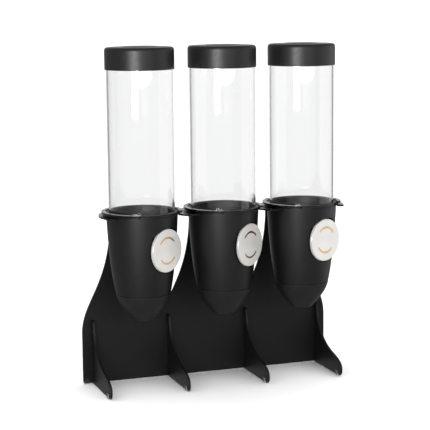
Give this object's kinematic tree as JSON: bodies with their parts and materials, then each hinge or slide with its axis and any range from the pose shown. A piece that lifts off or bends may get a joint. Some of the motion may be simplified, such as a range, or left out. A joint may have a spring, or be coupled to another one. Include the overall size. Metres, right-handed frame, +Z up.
{
  "type": "cereal dispenser",
  "caption": "Dry-food dispenser with clear lidded canisters over black hoppers, each with a turning metering knob, held side by side on a ribbed black stand.",
  "frame": {"origin": "on the floor, under the middle of the object's box", "axes": "+Z up, -Y towards the front with the knobs, +X to the viewer's right"},
  "size_m": [0.4514, 0.1632, 0.5815],
  "materials": {
    "panel_black": "satin black sheet",
    "shelf_black": "polished black sheet",
    "rib_black": "satin black sheet",
    "clip_clear": "clear moulded foot clip",
    "hopper_black": "fine satin moulded black",
    "nozzle_black": "fine satin moulded black",
    "collar_black": "polished black sheet",
    "tube_clear": "clear polished tube",
    "lid_charcoal": "satin charcoal",
    "seal_silicone": "matt silicone",
    "chamber_black": "matt moulded black",
    "bush_nylon": "natural nylon",
    "knob_steel": "satin spun steel",
    "core_bronze": "bronze-coloured moulding",
    "spindle_steel": "turned steel",
    "wheel_rubber": "grey food-grade rubber",
    "clip_steel": "spring steel"
  },
  "bodies": {
    "stand": {"back_panel": "panel_black", "ring_shelf": "shelf_black", "rib_1": "rib_black", "rib_2": "rib_black", "rib_3": "rib_black", "rib_4": "rib_black", "toe_clip_1": "clip_clear", "toe_clip_2": "clip_clear", "toe_clip_3": "clip_clear", "toe_clip_4": "clip_clear", "corner_clip_left": "clip_clear", "corner_clip_right": "clip_clear"},
    "canister_left": {"hopper_left": "hopper_black", "nozzle_left": "nozzle_black", "collar_left": "collar_black", "tube_left": "tube_clear", "metering_chamber_left": "chamber_black", "front_bush_left": "bush_nylon", "rear_bush_left": "bush_nylon"},
    "lid_left": {"lid_left": "lid_charcoal", "lid_seal_left": "seal_silicone"},
    "rotor_left": {"knob_plate_left": "knob_steel", "knob_core_left": "core_bronze", "spindle_left": "spindle_steel", "paddle_wheel_left": "wheel_rubber", "spindle_clip_left": "clip_steel"},
    "canister_middle": {"hopper_middle": "hopper_black", "nozzle_middle": "nozzle_black", "collar_middle": "collar_black", "tube_middle": "tube_clear", "metering_chamber_middle": "chamber_black", "front_bush_middle": "bush_nylon", "rear_bush_middle": "bush_nylon"},
    "lid_middle": {"lid_middle": "lid_charcoal", "lid_seal_middle": "seal_silicone"},
    "rotor_middle": {"knob_plate_middle": "knob_steel", "knob_core_middle": "core_bronze", "spindle_middle": "spindle_steel", "paddle_wheel_middle": "wheel_rubber", "spindle_clip_middle": "clip_steel"},
    "canister_right": {"hopper_right": "hopper_black", "nozzle_right": "nozzle_black", "collar_right": "collar_black", "tube_right": "tube_clear", "metering_chamber_right": "chamber_black", "front_bush_right": "bush_nylon", "rear_bush_right": "bush_nylon"},
    "lid_right": {"lid_right": "lid_charcoal", "lid_seal_right": "seal_silicone"},
    "rotor_right": {"knob_plate_right": "knob_steel", "knob_core_right": "core_bronze", "spindle_right": "spindle_steel", "paddle_wheel_right": "wheel_rubber", "spindle_clip_right": "clip_steel"}
  },
  "joints": [
    {"name": "canister_left_lift", "type": "slide", "parent": "stand", "child": "canister_left", "axis": [0, 0, 1], "range_m": [0, 0.2]},
    {"name": "lid_left_lift", "type": "slide", "parent": "canister_left", "child": "lid_left", "axis": [0, 0, 1], "range_m": [0, 0.06]},
    {"name": "knob_left_turn", "type": "hinge", "parent": "canister_left", "child": "rotor_left", "pos_m": [-0.143, -0.01636, 0.2493], "axis": [0.5225, -0.8526, 0], "continuous": true},
    {"name": "canister_middle_lift", "type": "slide", "parent": "stand", "child": "canister_middle", "axis": [0, 0, 1], "range_m": [0, 0.2]},
    {"name": "lid_middle_lift", "type": "slide", "parent": "canister_middle", "child": "lid_middle", "axis": [0, 0, 1], "range_m": [0, 0.06]},
    {"name": "knob_middle_turn", "type": "hinge", "parent": "canister_middle", "child": "rotor_middle", "pos_m": [0, -0.01636, 0.2493], "axis": [0.5807, -0.8141, 0], "continuous": true},
    {"name": "canister_right_lift", "type": "slide", "parent": "stand", "child": "canister_right", "axis": [0, 0, 1], "range_m": [0, 0.2]},
    {"name": "lid_right_lift", "type": "slide", "parent": "canister_right", "child": "lid_right", "axis": [0, 0, 1], "range_m": [0, 0.06]},
    {"name": "knob_right_turn", "type": "hinge", "parent": "canister_right", "child": "rotor_right", "pos_m": [0.143, -0.01636, 0.2493], "axis": [0.4305, -0.9026, 0], "continuous": true}
  ]
}
